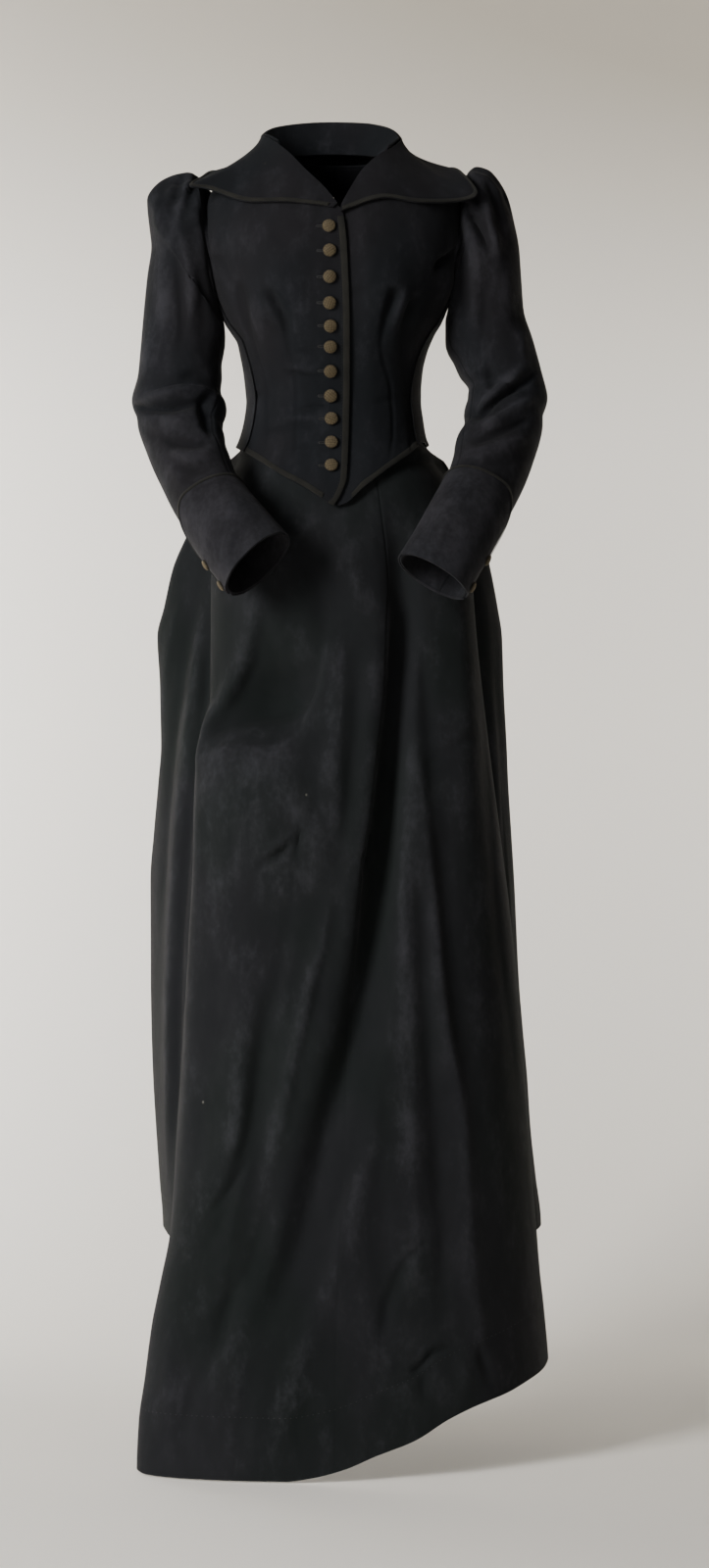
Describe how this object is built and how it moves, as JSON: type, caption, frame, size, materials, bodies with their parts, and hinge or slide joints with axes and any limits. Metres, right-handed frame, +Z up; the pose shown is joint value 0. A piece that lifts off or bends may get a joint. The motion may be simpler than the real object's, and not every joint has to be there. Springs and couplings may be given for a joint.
{
  "type": "riding habit",
  "caption": "Close-fitting dark wool jacket bodice with wide pointed collar and long sleeves, over a long one-sided side-saddle skirt.",
  "frame": {"origin": "between the wearer's shoulders, at shoulder-point height, in the middle of the body", "axes": "+X towards the wearer's left, -Y the front, +Z up"},
  "size_m": [0.548, 0.5144, 1.7554],
  "materials": {
    "jacket_wool": "fulled dark blue-black wool cloth, dull",
    "skirt_wool": "fulled dark grey-black wool cloth, slightly faded on the folds",
    "braid": "flat dark brown silk braid",
    "button_cord": "bronze-brown cord worked in a basket pattern over a mould",
    "waistband_cotton": "plain black cotton"
  },
  "bodies": {
    "root": {"front_right": "jacket_wool", "front_left": "jacket_wool", "underarm_right": "jacket_wool", "underarm_left": "jacket_wool", "side_back_right": "jacket_wool", "side_back_left": "jacket_wool", "back_right": "jacket_wool", "back_left": "jacket_wool", "collar_fall": "jacket_wool", "collar_stand": "jacket_wool", "sleeve_right_upper": "jacket_wool", "sleeve_right_under": "jacket_wool", "sleeve_left_upper": "jacket_wool", "sleeve_left_under": "jacket_wool", "cuff_right": "jacket_wool", "cuff_left": "jacket_wool", "apron_right": "skirt_wool", "apron_left": "skirt_wool", "skirt_back_right": "skirt_wool", "skirt_back_left": "skirt_wool", "waistband": "waistband_cotton", "braid_front": "braid", "braid_hem_right": "braid", "braid_hem_left": "braid", "braid_collar": "braid", "braid_cuff_right": "braid", "braid_cuff_left": "braid", "button_front_01": "button_cord", "button_front_02": "button_cord", "button_front_03": "button_cord", "button_front_04": "button_cord", "button_front_05": "button_cord", "button_front_06": "button_cord", "button_front_07": "button_cord", "button_front_08": "button_cord", "button_front_09": "button_cord", "button_front_10": "button_cord", "button_front_11": "button_cord", "button_cuff_right_1": "button_cord", "button_cuff_right_2": "button_cord", "button_cuff_left_1": "button_cord", "button_cuff_left_2": "button_cord"}
  },
  "joints": []
}
